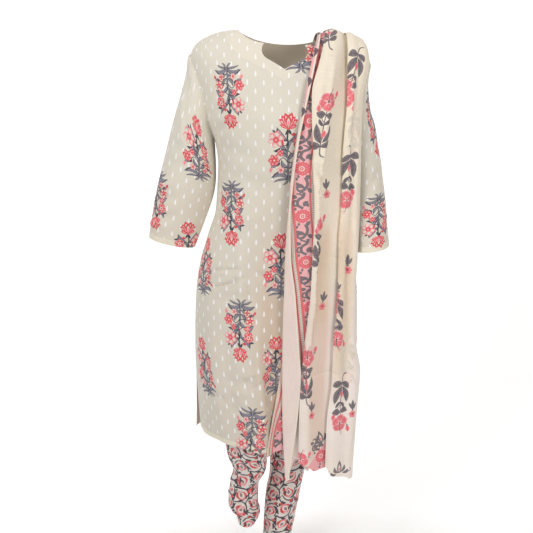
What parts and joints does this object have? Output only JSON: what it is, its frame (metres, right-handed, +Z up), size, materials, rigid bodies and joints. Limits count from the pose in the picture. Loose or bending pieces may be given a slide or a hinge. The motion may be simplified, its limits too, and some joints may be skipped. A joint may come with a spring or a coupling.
{
  "type": "kurti pant dupatta set",
  "caption": "Worn three-piece suit: knee-length kurti with three-quarter sleeves and side slits, tapered printed trousers, and a sheer stole pleated over the left shoulder.",
  "frame": {"origin": "middle of the shoulder line, where the wearer's shoulders carry the suit", "axes": "+Z up, the front faces -Y, the wearer's right arm is on -X and the stole is on the +X shoulder"},
  "size_m": [0.596, 0.3367, 1.388],
  "materials": {
    "kurti_cotton": "matt cream dobby cotton with small woven drops and a grey and coral block-style flower print",
    "trouser_cotton": "matt white cotton with a dense grey, pink and coral flower trellis print",
    "stole_sheer": "sheer cream to pale pink voile with flower sprigs and printed borders"
  },
  "bodies": {
    "root": {"kurti_front": "kurti_cotton", "kurti_back": "kurti_cotton", "kurti_neck_facing": "kurti_cotton", "sleeve_right": "kurti_cotton", "sleeve_left": "kurti_cotton", "waistband": "trouser_cotton", "trouser_right_front": "trouser_cotton", "trouser_right_back": "trouser_cotton", "trouser_left_front": "trouser_cotton", "trouser_left_back": "trouser_cotton", "stole_front": "stole_sheer", "stole_corner": "stole_sheer", "stole_shoulder": "stole_sheer", "stole_back": "stole_sheer"}
  },
  "joints": []
}
